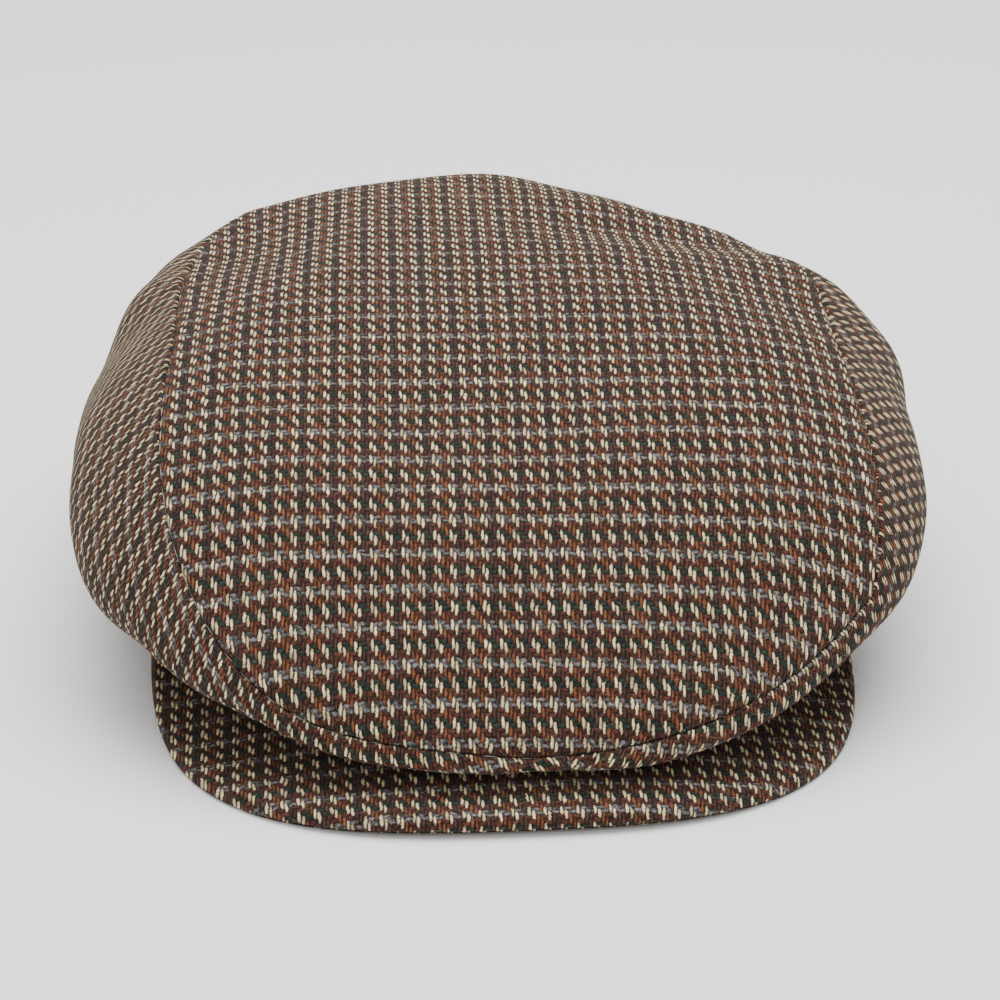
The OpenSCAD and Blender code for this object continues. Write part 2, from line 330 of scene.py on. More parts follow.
def topHeight(x, y):
    # height of the plain upper face over a place seen from above
    turn = np.arctan2(y - crownShape["crestBack"], x)
    turn = np.where(turn < turnTable[0], turn + 2 * np.pi, turn)
    turn = np.where(turn > turnTable[-1], turn - 2 * np.pi, turn)
    angle = np.interp(turn, turnTable, angleTable)
    edgeX, edgeY = widestLine(angle, 0.0)
    reach = np.hypot(edgeX, edgeY - crownShape["crestBack"])
    share = np.clip(np.hypot(x, y - crownShape["crestBack"]) / reach, 0, 1)
    return upperFace(angle, share)[..., 2]


def topThreads(points):
    # across: the length of the face from its middle out to x; down: the length of the middle line to y
    x, y = points[..., 0], points[..., 1]
    across = np.zeros_like(x)
    before = topHeight(np.zeros_like(x), y)
    parts = 24
    for part in range(1, parts + 1):
        after = topHeight(x * part / parts, y)
        across += np.hypot(x / parts, after - before)
        before = after
    middleY = np.linspace(-150, 130, 1121)
    middleZ = topHeight(np.zeros_like(middleY), middleY)
    run = np.concatenate([[0], np.cumsum(np.hypot(np.diff(middleY), np.diff(middleZ)))])
    down = -np.interp(y, middleY, run - np.interp(0.0, middleY, run))
    across = np.sign(x) * across
    turn = math.radians(topPanel["grainTurn"])
    return np.stack([across * math.cos(turn) + down * math.sin(turn),
                     down * math.cos(turn) - across * math.sin(turn)], -1)


def sideThreads(points, middleRow, side):
    # the side panel is cut as a bent strip: its grain lies at one angle and turns over towards the front
    line = points[:, middleRow:middleRow + 1]
    along = lengthAlong(line, 0)
    depth = lengthAlong(points, 1)
    depth = depth - depth[:, middleRow:middleRow + 1]
    fromFront = along if side > 0 else along[-1] - along
    near = np.clip(1 - fromFront / sidePanels["turnOver"], 0, 1) ** 2
    bend = np.radians(sidePanels["lay"][side] * (1 - near) - side * sidePanels["grainTurn"] * near)
    stepLength = np.diff(along, axis=0)
    middle = (bend[1:] + bend[:-1]) / 2
    start = np.zeros((1, 1))
    baseU = np.concatenate([start, np.cumsum(stepLength * np.cos(middle), axis=0)])
    baseV = np.concatenate([start, np.cumsum(stepLength * np.sin(middle), axis=0)])
    return np.stack([baseU - depth * np.sin(bend), baseV + depth * np.cos(bend)], -1)


# The crown's pieces

topPanel = {"columns": 360, "rows": 92, "roll": 1.7, "swell": 0.35, "pucker": 0.22, "pitch": 8.5, "ripple": 0.55,
            "grainTurn": 2.0}
sidePanels = {"columns": 210, "rows": 86, "roll": 1.7, "swell": 0.45, "pucker": 0.25, "pitch": 9.0,
              "ripple": 0.6, "grainTurn": 32.0, "turnOver": 150.0, "lay": {1: 16.0, -1: -22.0}}


def makeTopPiece(name, inset, thickness, columns, rows):
    t = topPanel
    angle = np.radians(-90 + 360 * np.arange(columns) / columns)[:, None]
    fine = 1 - (1 - np.linspace(0, 1, 260)[None, :]) ** 1.6
    column = upperFace(angle, seamShareAt(angle) * fine, inset)
    w = np.linspace(0, 1, rows + 1)
    points = evenRows(column, 0.8 * w * (2 - w) + 0.2 * w)
    plain = points.copy()
    normal = gridNormals(points, True)
    run = lengthAlong(points, 1)
    distance = run[:, -1:] - run
    edge = np.concatenate([points[:, -1:], points[:1, -1:]])
    along = lengthAlong(edge, 0)[:-1]
    lift = softForm(points) + clothRipple(points, t["ripple"])
    lift = lift + seamEdge(distance, along, t["roll"], t["swell"], t["pucker"], t["pitch"])
    crestLift = float((softForm(points[:1, 0]) + clothRipple(points[:1, 0], t["ripple"]))[0])
    points = points + normal * lift[..., None]
    crest = plain[0, 0] + np.array([0.0, 0.0, crestLift])
    uv = topThreads(plain)
    piece = gridMesh(name, points[:, 1:], uv[:, 1:], True, crest, uv[0, 0])
    return thicken(piece, thickness)


def makeSidePiece(name, side, inset, thickness, columns, rows):
    # side 1 runs from the front seam round the right to the back seam, side -1 from the back round the left
    s = sidePanels
    front, back = -90 + crownShape["frontSplit"], 90.0
    ends = (front, back) if side > 0 else (back, front + 360)
    w = np.linspace(0, 1, columns)
    angle = np.radians(ends[0] + (ends[1] - ends[0]) * (w - 0.8 * np.sin(2 * np.pi * w) / (2 * np.pi)))[:, None]
    seam = seamShareAt(angle)
    out = np.linspace(0, 1, 120)[None, :]
    upper = upperFace(angle, 1 - (1 - seam) * (1 - out) ** 2.2, inset)
    under = underFace(angle, np.linspace(0, 1, 160)[None, 1:], inset)
    v = np.linspace(0, 1, rows)
    points = evenRows(np.concatenate([upper, under], axis=1), v - 0.75 * np.sin(2 * np.pi * v) / (2 * np.pi))
    normal = gridNormals(points, False)
    run = lengthAlong(points, 1)
    across = lengthAlong(points, 0)
    toTop, toRim = run, run[:, -1:] - run
    toEnd = np.minimum(across, across[-1:] - across)
    alongTop = lengthAlong(points[:, :1], 0)
    lift = softForm(points) + clothRipple(points, s["ripple"]) * np.clip(toRim / 25, 0, 1)
    topEdge = seamEdge(toTop, alongTop + 4, s["roll"], s["swell"], s["pucker"], s["pitch"])
    endEdge = seamEdge(toEnd, run, 0.5 * s["roll"], 0.5 * s["swell"], 0.4 * s["pucker"], s["pitch"])
    rimEdge = seamEdge(toRim, alongTop, 0.8, 0.0, 0.0, s["pitch"])
    lift = lift + np.minimum(topEdge, endEdge * np.clip(toRim / 8, 0.1, 1)) + rimEdge
    uv = sideThreads(points, rows // 3, side)
    points = points + normal * lift[..., None]
    return thicken(gridMesh(name, points, uv, False), thickness)


tweedWall = 1.2
topTweed = makeTopPiece("topPanelTweed", 0.0, tweedWall, topPanel["columns"], topPanel["rows"])
rightTweed = makeSidePiece("sidePanelTweedRight", 1, 0.0, tweedWall, sidePanels["columns"], sidePanels["rows"])
leftTweed = makeSidePiece("sidePanelTweedLeft", -1, 0.0, tweedWall, sidePanels["columns"], sidePanels["rows"])
print("tweed panels made")

innerLayers = {
    "interlining": {"slot": "wadding", "inset": 1.4, "wall": 1.2},
    "lining": {"slot": "lining", "inset": 4.0, "wall": 0.5},
}
layerGrid = {"top": (150, 50), "side": (110, 56)}  # columns and rows

layerPieces = []
for layerName, made in innerLayers.items():
    for panel, side in (("top", 0), ("side", 1), ("side", -1)):
        ending = {0: "", 1: "_right", -1: "_left"}[side]
        pieceName = panel + layerName.capitalize() + {0: "", 1: "Right", -1: "Left"}[side]
        if side == 0:
            layer = makeTopPiece(pieceName, made["inset"], made["wall"], *layerGrid[panel])
        else:
            layer = makeSidePiece(pieceName, side, made["inset"], made["wall"], *layerGrid[panel])
        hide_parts(f"{panel}_{layerName}{ending}")
        layerPieces.append(layer)
print("interlining and lining made")

# The peak

peakShape = {
    "halfWidth": 95.6,
    "reach": 98.0,
    "tail": 40.0,
    "widestY": -59.0,
    "power": 2.82,
    "end": 128.0,
    "rise": 0.2,
    "arch": 12.5,
    "foot": 1.3,
    "thickness": 4.0,
    "columns": 330,
    "rows": 46,
    "rollRows": 10,
    "wall": 0.9,
    "wrap": 55.0,  # degrees below the edge at which the top cover meets the under cover
}


def peakLines(a):
    # outer edge: a superellipse that rises to the back and arches down at the sides
    # inner line: the opening's seam
    p, c = peakShape, crownShape
    power = 2 / p["power"]
    x = p["halfWidth"] * signedPower(np.sin(a), power)
    y = p["widestY"] - np.where(np.cos(a) > 0, p["reach"], p["tail"]) * signedPower(np.cos(a), power)
    arch = np.where(np.cos(a) > 0, np.abs(x / p["halfWidth"]) ** 3, 1)
    frontY = p["widestY"] - p["reach"]
    z = p["foot"] + p["thickness"] / 2 + p["rise"] * (np.minimum(y, p["widestY"]) - frontY) - p["arch"] * arch
    turn = np.arctan2(y, x)
    r = 1 / np.sqrt((np.cos(turn) / c["rimX"]) ** 2 + (np.sin(turn) / c["rimBack"]) ** 2)
    seamY = r * np.sin(turn)
    seamZ = c["openingRise"] / 2 * (1 - seamY / c["rimBack"]) - p["thickness"] / 2 - 0.2
    tail = np.maximum(0, (np.degrees(np.abs(a)) - 90) / (p["end"] - 90)) ** 2
    edge = np.stack([x, y, z + (seamZ - z) * tail], -1)
    return edge, np.stack([r * np.cos(turn), seamY, seamZ], -1)


def makePeakCover(name, side, thickness):
    # profile: straight out from the seam, then round the edge on a circle of half the peak's thickness
    p = peakShape
    w = np.linspace(-1, 1, p["columns"])
    a = np.radians(p["end"] * w)
    edge, seam = peakLines(a)
    reach = np.linalg.norm((edge - seam)[:, :2], axis=1)[:, None]
    outwards = (edge - seam) / reach
    half = p["thickness"] / 2
    radius = np.minimum(half, 0.3 * reach)
    flat = np.linspace(0, 1, p["rows"])[None, :]
    wrap = math.radians(p["wrap"])
    if side > 0:
        turn = np.linspace(math.pi / 2, -wrap, p["rollRows"] * 3)[None, 1:]
    else:
        turn = np.linspace(-math.pi / 2, -wrap, p["rollRows"])[None, 1:]
    out = np.concatenate([(reach - radius) * flat, reach - radius + radius * np.cos(turn)], axis=1)
    up = np.concatenate([np.full(flat.shape, side * half), half * np.sin(turn)], axis=1)
    points = seam[:, None, :] + outwards[:, None, :] * out[..., None]
    points[..., 2] += up
    run = lengthAlong(points, 1)
    plan = np.hypot(*(points - points[:, :1])[..., :2].transpose(2, 0, 1))
    uv = np.stack([points[..., 0], -points[..., 1] + np.maximum(run - plan, 0) * 0.9], -1)
    shift = clothRipple(points * 1.3, 0.35) * np.clip(out / reach * 3, 0, 1) * np.clip((reach - out) / 6, 0, 1)
    points[..., 2] += side * shift - (0.5 if side < 0 else 0) * np.exp(-(reach - out) / 2)
    piece = gridMesh(name, points, uv, False)
    if side < 0:
        piece.data.flip_normals()
    return thicken(piece, thickness)


peakTop = makePeakCover("peakTopTweed", 1, peakShape["wall"])
peakUnder = makePeakCover("peakUnderTweed", -1, peakShape["wall"])
print("peak covers made")

# The strip that joins the crown to the opening

hemStrip = {"columns": 240, "rows": 14, "height": 12.0, "foot": 0.4, "tapeHalf": (81.7, 99.2), "clear": 0.45,
            "thickness": 0.7}


def makeHemStrip(name):
    # a ring just outside the stay tape, square to the opening's sloping plane
    h, c = hemStrip, crownShape
    angle = np.radians(360 * np.arange(h["columns"]) / h["columns"])[:, None]
    t = np.linspace(0, 1, h["rows"])[None, :]
    slope = math.atan(c["openingRise"] / (2 * c["rimBack"]))
    ringX = (h["tapeHalf"][0] + h["clear"] + h["thickness"]) * np.cos(angle) * np.ones_like(t)
    ringY = (h["tapeHalf"][1] + h["clear"] + h["thickness"]) * np.sin(angle) * np.ones_like(t)
    rise = h["foot"] + h["height"] * t
    points = np.stack([ringX, ringY * math.cos(slope) + rise * math.sin(slope),
                       c["openingRise"] / 2 - ringY * math.sin(slope) + rise * math.cos(slope)], -1)
    along = lengthAlong(np.concatenate([points, points[:1]]), 0)[:-1]
    piece = gridMesh(name, points[:, ::-1], np.stack([along, -rise * np.ones_like(angle)], -1)[:, ::-1], True)
    return thicken(piece, h["thickness"])


hem = makeHemStrip("hemStripTweed")
print("hem strip made")

# Loose fibres that stand off the wool

looseFibres = {"crown": 2600, "peak": 700, "radius": 0.028, "length": (1.6, 4.6), "rise": (0.15, 1.0), "sway": 0.9,
               "rings": 5, "crownAbove": 12.0, "peakAbove": 1.5, "floorGap": 0.25, "facing": -0.75, "seed": 7}


def vertexArrays(piece):
    mesh = piece.data
    places, normals = np.zeros(len(mesh.vertices) * 3), np.zeros(len(mesh.vertices) * 3)
    mesh.vertices.foreach_get("co", places)
    mesh.vertices.foreach_get("normal", normals)
    return places.reshape(-1, 3) * 1000 - np.array([0, openingMiddle[1] * 1000, 0]), normals.reshape(-1, 3)


def makeFibres(name, pieces, count, lowest):
    # each fibre is a bent three-sided tube: out along the cloth, up and back down on half a sine wave
    f = looseFibres
    random = np.random.default_rng(f["seed"] + count)
    arrays = [vertexArrays(piece) for piece in pieces]
    places = np.concatenate([a[0] for a in arrays])
    normals = np.concatenate([a[1] for a in arrays])
    free = (places[:, 2] > lowest) & (normals[:, 2] > f["facing"])
    places, normals = places[free], normals[free]
    chosen = random.integers(0, len(places), count)
    root, up = places[chosen], normals[chosen]
    along = np.cross(up, random.normal(size=(count, 3)))
    along /= np.linalg.norm(along, axis=1, keepdims=True)
    across = np.cross(up, along)
    length = random.uniform(*f["length"], count)[:, None, None]
    rise = random.uniform(*f["rise"], count)[:, None, None]
    sway = random.normal(0, f["sway"], count)[:, None, None]
    s = np.linspace(0, 1, f["rings"])[None, :, None]
    path = (root[:, None] - 0.1 * up[:, None] + along[:, None] * length * s
            + up[:, None] * rise * np.sin(s * np.pi * 0.85) + across[:, None] * sway * s * s)
    path[..., 2] = np.maximum(path[..., 2], f["floorGap"])
    turn = np.array([0, 2 * np.pi / 3, 4 * np.pi / 3])[None, None, :, None]
    thin = f["radius"] * (1.15 - 0.8 * s)[..., None]
    rings = path[:, :, None] + thin * (np.cos(turn) * up[:, None, None] + np.sin(turn) * across[:, None, None])
    each = f["rings"] * 3
    first = np.arange(count)[:, None] * each
    base = first[..., None]
    ring, corner = np.arange(f["rings"] - 1)[None, :, None] * 3, np.arange(3)[None, None, :]
    following = (corner + 1) % 3
    quads = np.stack([base + ring + corner, base + ring + following, base + ring + 3 + following,
                      base + ring + 3 + corner], -1).reshape(-1, 4)
    caps = np.concatenate([first + [2, 1, 0], first + [each - 3, each - 2, each - 1]])
    loops = np.concatenate([quads.ravel(), caps.ravel()])
    sizes = np.concatenate([np.full(len(quads), 4), np.full(len(caps), 3)])
    return buildMesh(name, rings.reshape(-1, 3), loops, sizes)


crownFibres = makeFibres("crownLooseFibres", (topTweed, rightTweed, leftTweed), looseFibres["crown"],
                         looseFibres["crownAbove"])
peakFibres = makeFibres("peakLooseFibres", (peakTop,), looseFibres["peak"], looseFibres["peakAbove"])
print("loose fibres made")

# Effects that several materials share


def newGroup(name, inputs, outputs):
    group = bpy.data.node_groups.new(name, "ShaderNodeTree")
    for label, kind, value in inputs:
        socket = group.interface.new_socket(label, in_out="INPUT", socket_type=kind)
        if value is not None:
            socket.default_value = value
    for label, kind in outputs:
        group.interface.new_socket(label, in_out="OUTPUT", socket_type=kind)
    return group, group.nodes.new("NodeGroupInput"), group.nodes.new("NodeGroupOutput")


def connect(tree, socket, value):
    if isinstance(value, bpy.types.NodeSocket):
        tree.links.new(value, socket)
    else:
        socket.default_value = value


def calc(tree, operation, *values):
    node = tree.nodes.new("ShaderNodeMath")
    node.operation = operation
    for socket, value in zip(node.inputs, values):
        connect(tree, socket, value)
    return node.outputs[0]


def blendColour(tree, factor, first, second, mode="MIX"):
    node = tree.nodes.new("ShaderNodeMix")
    node.data_type = "RGBA"
    node.blend_type = mode
    connect(tree, node.inputs[0], factor)
    connect(tree, node.inputs[6], first)
    connect(tree, node.inputs[7], second)
    return node.outputs[2]


def noise(tree, vector, scale, detail=2.0):
    node = tree.nodes.new("ShaderNodeTexNoise")
    node.inputs["Scale"].default_value = scale
    node.inputs["Detail"].default_value = detail
    connect(tree, node.inputs["Vector"], vector)
    return node.outputs["Fac"]


def spread(tree, value, fromLow, fromHigh, toLow=0.0, toHigh=1.0):
    # a range of values stretched over another, and held at its ends
    node = tree.nodes.new("ShaderNodeMapRange")
    for label, limit in (("From Min", fromLow), ("From Max", fromHigh), ("To Min", toLow), ("To Max", toHigh)):
        node.inputs[label].default_value = limit
    tree.links.new(value, node.inputs["Value"])
    return node.outputs["Result"]


def vectorOf(tree, x, y, z=0.0):
    node = tree.nodes.new("ShaderNodeCombineXYZ")
    for socket, value in zip(node.inputs, (x, y, z)):
        connect(tree, socket, value)
    return node.outputs[0]


def buildTwillGroup():
    # two-and-two twill: ends run down the cloth, picks across it, and each float passes over two threads
    group, start, finish = newGroup("tweedTwill", [
        ("Place", "NodeSocketVector", None), ("End Pitch", "NodeSocketFloat", 0.00102),
        ("Pick Pitch", "NodeSocketFloat", 0.00128), ("Unevenness", "NodeSocketFloat", 0.7),
        ("Light End", "NodeSocketColor", None), ("Warm End", "NodeSocketColor", None),
        ("Dark End", "NodeSocketColor", None), ("Grey Pick", "NodeSocketColor", None),
        ("Brown Pick", "NodeSocketColor", None), ("Green Pick", "NodeSocketColor", None),
        ("Fleck", "NodeSocketColor", None)],
        [("Colour", "NodeSocketColor"), ("Height", "NodeSocketFloat")])
    t = group
    place = start.outputs["Place"]
    split = t.nodes.new("ShaderNodeSeparateXYZ")
    t.links.new(place, split.inputs[0])
    turnedA = vectorOf(t, split.outputs[1], split.outputs[0], 3.0)
    turnedB = vectorOf(t, split.outputs[1], split.outputs[0], 5.0)
    wanderA = calc(t, "SUBTRACT", noise(t, place, 260.0, 3.0), 0.5)
    wanderB = calc(t, "SUBTRACT", noise(t, turnedA, 300.0, 3.0), 0.5)
    hairyA = calc(t, "SUBTRACT", noise(t, place, 2100.0, 2.0), 0.5)
    hairyB = calc(t, "SUBTRACT", noise(t, turnedB, 1900.0, 2.0), 0.5)
    wanderA = calc(t, "ADD", calc(t, "MULTIPLY", wanderA, 1.7), calc(t, "MULTIPLY", hairyA, 1.2))
    wanderB = calc(t, "ADD", calc(t, "MULTIPLY", wanderB, 1.7), calc(t, "MULTIPLY", hairyB, 1.5))
    ends = calc(t, "DIVIDE", split.outputs[0], start.outputs["End Pitch"])
    ends = calc(t, "ADD", ends, calc(t, "MULTIPLY", wanderA, start.outputs["Unevenness"]))
    picks = calc(t, "DIVIDE", split.outputs[1], start.outputs["Pick Pitch"])
    picks = calc(t, "ADD", picks, calc(t, "MULTIPLY", wanderB, start.outputs["Unevenness"]))
    endNumber, pickNumber = calc(t, "FLOOR", ends), calc(t, "FLOOR", picks)

    def roundness(value, number, steepness):
        # one minus the squared distance from the thread's middle
        middle = calc(t, "SUBTRACT", calc(t, "MULTIPLY", calc(t, "SUBTRACT", value, number), 2.0), 1.0)
        return calc(t, "SUBTRACT", 1.0, calc(t, "MULTIPLY", calc(t, "MULTIPLY", middle, middle), steepness))

    endRise = calc(t, "SUBTRACT", picks, endNumber)
    pickRise = calc(t, "SUBTRACT", calc(t, "SUBTRACT", ends, pickNumber), 1.0)
    endWave = calc(t, "SINE", calc(t, "MULTIPLY", endRise, math.pi / 2))
    pickWave = calc(t, "SINE", calc(t, "MULTIPLY", pickRise, math.pi / 2))
    endHeight = calc(t, "ADD", roundness(ends, endNumber, 2.6), endWave)
    pickHeight = calc(t, "ADD", calc(t, "MULTIPLY", roundness(picks, pickNumber, 1.5), 0.62),
                      calc(t, "MULTIPLY", pickWave, 0.75))
    endOver = calc(t, "GREATER_THAN", endHeight, pickHeight)
    height = calc(t, "MAXIMUM", endHeight, pickHeight)

    def whereOver(ofEnd, ofPick):
        # the end's value where the end lies on top, the pick's value elsewhere
        return calc(t, "ADD", calc(t, "MULTIPLY", endOver, ofEnd),
                    calc(t, "MULTIPLY", calc(t, "SUBTRACT", 1.0, endOver), ofPick))

    # colours in pairs of threads: light, warm, light, dark down the cloth, grey, brown, green, brown across it
    light = calc(t, "LESS_THAN", calc(t, "FLOORED_MODULO", endNumber, 4.0), 1.5)
    warm = calc(t, "LESS_THAN", calc(t, "FLOORED_MODULO", endNumber, 8.0), 3.5)
    brown = calc(t, "GREATER_THAN", calc(t, "FLOORED_MODULO", pickNumber, 4.0), 1.5)
    grey = calc(t, "LESS_THAN", calc(t, "FLOORED_MODULO", pickNumber, 8.0), 3.5)
    warmOrDark = blendColour(t, warm, start.outputs["Dark End"], start.outputs["Warm End"])
    endColour = blendColour(t, light, warmOrDark, start.outputs["Light End"])
    worn = spread(t, noise(t, place, 900.0, 3.0), 0.44, 0.58, 0.12, 1.0)
    greyPart = calc(t, "MULTIPLY", grey, worn)
    greyOrGreen = blendColour(t, greyPart, start.outputs["Green Pick"], start.outputs["Grey Pick"])
    pickColour = blendColour(t, brown, greyOrGreen, start.outputs["Brown Pick"])
    colour = blendColour(t, endOver, pickColour, endColour)
    fleck = spread(t, noise(t, place, 1700.0, 3.0), 0.56, 0.74, 0.0, 0.42)
    colour = blendColour(t, fleck, colour, start.outputs["Fleck"])

    # every float differs a little, fibres streak along each thread, and the colour is scaled by the thread's height:
    # painted shade where the threads dip between others, lighter on their tops
    floatNumber = whereOver(calc(t, "FLOOR", calc(t, "DIVIDE", endRise, 4.0)),
                            calc(t, "FLOOR", calc(t, "DIVIDE", pickRise, 4.0)))
    threadNumber = whereOver(endNumber, calc(t, "ADD", pickNumber, 0.37))
    chance = t.nodes.new("ShaderNodeTexWhiteNoise")
    chance.noise_dimensions = "2D"
    t.links.new(vectorOf(t, threadNumber, floatNumber), chance.inputs["Vector"])
    upPlace = vectorOf(t, calc(t, "MULTIPLY", ends, 4.4), calc(t, "MULTIPLY", picks, 1.3))
    overPlace = vectorOf(t, calc(t, "MULTIPLY", ends, 1.1), calc(t, "MULTIPLY", picks, 4.6), 7.0)
    streak = whereOver(noise(t, upPlace, 1.0, 4.0), noise(t, overPlace, 1.0, 4.0))
    cloudy = noise(t, place, 45.0, 2.0)
    differing = calc(t, "MULTIPLY", start.outputs["Unevenness"], 0.9)
    toneAndPaintedShade = calc(t, "MULTIPLY", chance.outputs["Value"], differing)
    toneAndPaintedShade = calc(t, "ADD", toneAndPaintedShade, calc(t, "MULTIPLY", calc(t, "SUBTRACT", streak, 0.28), 2.6))
    toneAndPaintedShade = calc(t, "ADD", toneAndPaintedShade, calc(t, "MULTIPLY", cloudy, 0.24))
    # painted shade: darker where the threads dip low between the yarns, lighter on their tops
    toneAndPaintedShade = calc(t, "MULTIPLY", toneAndPaintedShade, spread(t, height, 0.1, 1.6, 0.15, 1.3))
    shaded = blendColour(t, 1.0, colour, vectorOf(t, toneAndPaintedShade, toneAndPaintedShade, toneAndPaintedShade), "MULTIPLY")
    t.links.new(shaded, finish.inputs["Colour"])
    full = calc(t, "ADD", calc(t, "MULTIPLY", height, 0.45), calc(t, "MULTIPLY", streak, 0.5))
    t.links.new(full, finish.inputs["Height"])
    return group


def buildGrainGroup():
    # two sizes of noise make a grain, with its colour and its height
    group, start, finish = newGroup("softGrain", [
        ("Place", "NodeSocketVector", None), ("Scale", "NodeSocketFloat", 900.0),
        ("Contrast", "NodeSocketFloat", 0.3), ("Base", "NodeSocketColor", None), ("Deep", "NodeSocketColor", None)],
        [("Colour", "NodeSocketColor"), ("Height", "NodeSocketFloat")])
    t = group
    scaled = t.nodes.new("ShaderNodeVectorMath")
    scaled.operation = "SCALE"
    t.links.new(start.outputs["Place"], scaled.inputs[0])
    t.links.new(start.outputs["Scale"], scaled.inputs["Scale"])
    fineGrain = noise(t, scaled.outputs[0], 1.0, 4.0)
    broad = noise(t, scaled.outputs[0], 0.06, 2.0)
    centred = calc(t, "SUBTRACT", fineGrain, 0.5)
    mask = calc(t, "ADD", calc(t, "MULTIPLY", centred, start.outputs["Contrast"]), broad)
    mask = calc(t, "MINIMUM", calc(t, "MAXIMUM", mask, 0.0), 1.0)
    t.links.new(blendColour(t, mask, start.outputs["Deep"], start.outputs["Base"]), finish.inputs["Colour"])
    t.links.new(fineGrain, finish.inputs["Height"])
    return group


def buildPlainWeaveGroup():
    # over one, under one: the product of two sine waves, for satin, tape and labels
    group, start, finish = newGroup("plainWeave", [
        ("Place", "NodeSocketVector", None), ("Pitch", "NodeSocketFloat", 0.0004),
        ("Light", "NodeSocketColor", None), ("Deep", "NodeSocketColor", None)],
        [("Colour", "NodeSocketColor"), ("Height", "NodeSocketFloat")])
    t = group
    split = t.nodes.new("ShaderNodeSeparateXYZ")
    t.links.new(start.outputs["Place"], split.inputs[0])
    turns = calc(t, "DIVIDE", math.pi, start.outputs["Pitch"])
    waveA = calc(t, "SINE", calc(t, "MULTIPLY", split.outputs[0], turns))
    waveB = calc(t, "SINE", calc(t, "MULTIPLY", calc(t, "ADD", split.outputs[1], split.outputs[2]), turns))
    height = calc(t, "ADD", 0.5, calc(t, "MULTIPLY", calc(t, "MULTIPLY", waveA, waveB), 0.5))
    uneven = calc(t, "MULTIPLY", noise(t, start.outputs["Place"], 260.0, 3.0), 0.6)
    # the colour leans to Deep where the weave dips and where the noise is low: partly a random tone, partly a
    # painted shade in the hollows between threads
    mask = calc(t, "MINIMUM", calc(t, "ADD", uneven, calc(t, "MULTIPLY", height, 0.4)), 1.0)
    t.links.new(blendColour(t, mask, start.outputs["Deep"], start.outputs["Light"]), finish.inputs["Colour"])
    t.links.new(height, finish.inputs["Height"])
    return group


twillGroup = buildTwillGroup()
grainGroup = buildGrainGroup()
plainWeaveGroup = buildPlainWeaveGroup()
print("shared effects built")

# Materials


def makeMaterial(name, group, values, place, roughness, bumpDistance, bumpStrength, metallic=0.0, sheen=0.0,
                 specular=0.3):
    material = bpy.data.materials.new(name)
    material.use_nodes = True
    tree = material.node_tree
    tree.nodes.clear()
    output = tree.nodes.new("ShaderNodeOutputMaterial")
    shader = tree.nodes.new("ShaderNodeBsdfPrincipled")
    tree.links.new(shader.outputs[0], output.inputs[0])
    effect = tree.nodes.new("ShaderNodeGroup")
    effect.node_tree = group
    for label, value in values.items():
        effect.inputs[label].default_value = value
    if place == "cloth":
        source = tree.nodes.new("ShaderNodeUVMap")
        source.uv_map = "clothUv"
        tree.links.new(source.outputs["UV"], effect.inputs["Place"])
    else:
        source = tree.nodes.new("ShaderNodeTexCoord")
        tree.links.new(source.outputs["Object"], effect.inputs["Place"])
    tree.links.new(effect.outputs["Colour"], shader.inputs["Base Color"])
    rough = spread(tree, effect.outputs["Height"], 0.0, 1.0, *roughness)
    tree.links.new(rough, shader.inputs["Roughness"])
    bump = tree.nodes.new("ShaderNodeBump")
    bump.inputs["Distance"].default_value = bumpDistance
    bump.inputs["Strength"].default_value = bumpStrength
    tree.links.new(effect.outputs["Height"], bump.inputs["Height"])
    tree.links.new(bump.outputs["Normal"], shader.inputs["Normal"])
    shader.inputs["Metallic"].default_value = metallic
    shader.inputs["Specular IOR Level"].default_value = specular
    shader.inputs["Sheen Weight"].default_value = sheen
    shader.inputs["Sheen Roughness"].default_value = 0.6
    return material


tweedYarns = {
    "Light End": (0.54, 0.44, 0.26, 1),
    "Warm End": (0.122, 0.040, 0.017, 1),
    "Dark End": (0.044, 0.0200, 0.0140, 1),
    "Grey Pick": (0.165, 0.148, 0.150, 1),
    "Brown Pick": (0.060, 0.0210, 0.0145, 1),
    "Green Pick": (0.0150, 0.0240, 0.0180, 1),
    "Fleck": (0.22, 0.11, 0.055, 1),
}
tweed = makeMaterial("tweed", twillGroup, tweedYarns, "cloth", (0.97, 0.88), 0.00045, 0.9, sheen=0.045,
                     specular=0.1)
fibreWool = makeMaterial(
    "fibreWool", grainGroup,
    {"Scale": 320.0, "Contrast": 1.6, "Base": (0.50, 0.36, 0.24, 1), "Deep": (0.10, 0.045, 0.025, 1)},
    "object", (0.95, 0.85), 0.00002, 0.2, specular=0.1)
wadding = makeMaterial(
    "wadding", grainGroup,
    {"Scale": 1400.0, "Contrast": 0.8, "Base": (0.78, 0.76, 0.70, 1), "Deep": (0.56, 0.54, 0.48, 1)},
    "object", (1.0, 0.9), 0.0003, 0.8)
